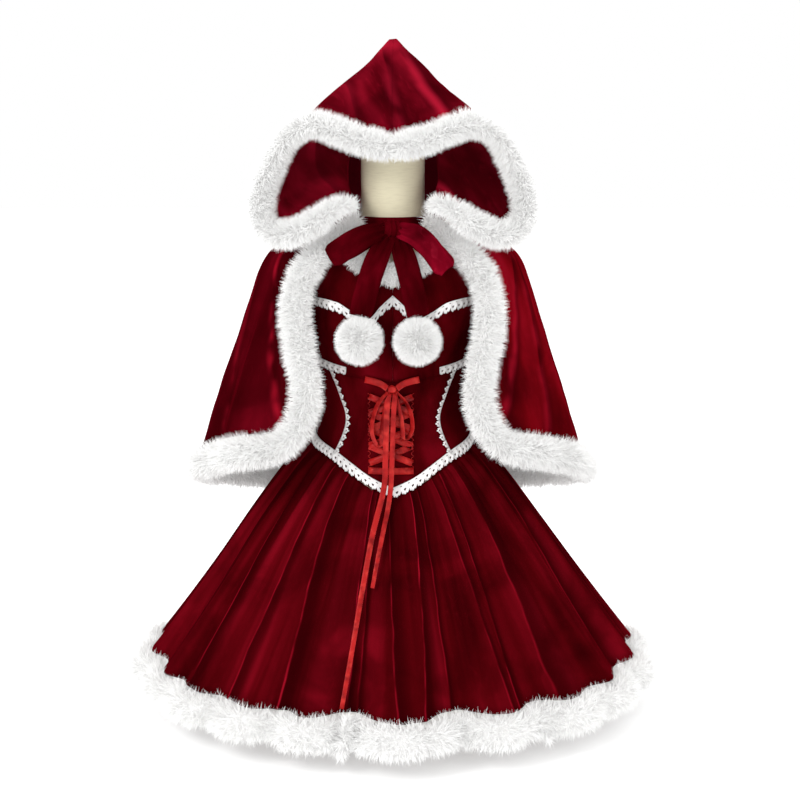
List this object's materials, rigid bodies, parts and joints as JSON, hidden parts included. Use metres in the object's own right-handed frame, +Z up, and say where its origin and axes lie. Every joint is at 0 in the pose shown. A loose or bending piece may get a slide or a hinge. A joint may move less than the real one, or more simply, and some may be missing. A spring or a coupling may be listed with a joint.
{
  "type": "hooded cape and dress costume on dress form",
  "caption": "Hooded velvet cape with fur trim and tied pompoms over a laced bodice and gathered fur-hemmed skirt, shown on a limbless dress form that it rests on.",
  "frame": {"origin": "centre of the dress form's flat underside, where it rests", "axes": "+Z up, -Y towards the front of the dress, +X to the right as seen from the front"},
  "size_m": [0.8749, 0.7308, 1.057],
  "materials": {
    "linen": "plain cream linen cover",
    "velvet": "dark red velvet",
    "cape_velvet": "dark red velvet",
    "lace": "white cotton lace",
    "satin": "bright red satin",
    "fur": "white long-pile fur"
  },
  "bodies": {
    "root": {"dress_form": "linen", "cup_left": "velvet", "yoke_left": "velvet", "side_panel_left": "velvet", "back_left": "velvet", "cup_right": "velvet", "yoke_right": "velvet", "side_panel_right": "velvet", "back_right": "velvet", "centre_panel": "velvet", "strap_left": "velvet", "strap_right": "velvet", "skirt_front": "velvet", "skirt_back": "velvet", "tie_band": "velvet", "tie_knot": "velvet", "tie_loop_left": "velvet", "tie_loop_right": "velvet", "tie_tail_left": "velvet", "tie_tail_right": "velvet", "cape_front_right": "cape_velvet", "cape_back": "cape_velvet", "cape_front_left": "cape_velvet", "hood_right": "cape_velvet", "hood_left": "cape_velvet", "lace_cups": "lace", "lace_underbust_left": "lace", "lace_underbust_right": "lace", "lace_waist": "lace", "lace_princess_left": "lace", "lace_princess_right": "lace", "lacing_under": "satin", "lacing_over": "satin", "lacing_bar": "satin", "eyelet_tape_left": "satin", "eyelet_tape_right": "satin", "satin_knot": "satin", "satin_end_left": "satin", "satin_end_right": "satin", "satin_loop_left": "satin", "satin_loop_right": "satin", "satin_tail_long": "satin", "satin_tail_short": "satin", "skirt_fur_hem": "fur", "cape_fur_right": "fur", "cape_fur_back": "fur", "cape_fur_left": "fur", "hood_fur_right": "fur", "hood_fur_left": "fur", "pompom_left": "fur", "pompom_right": "fur", "neck_fur": "fur"}
  },
  "joints": []
}
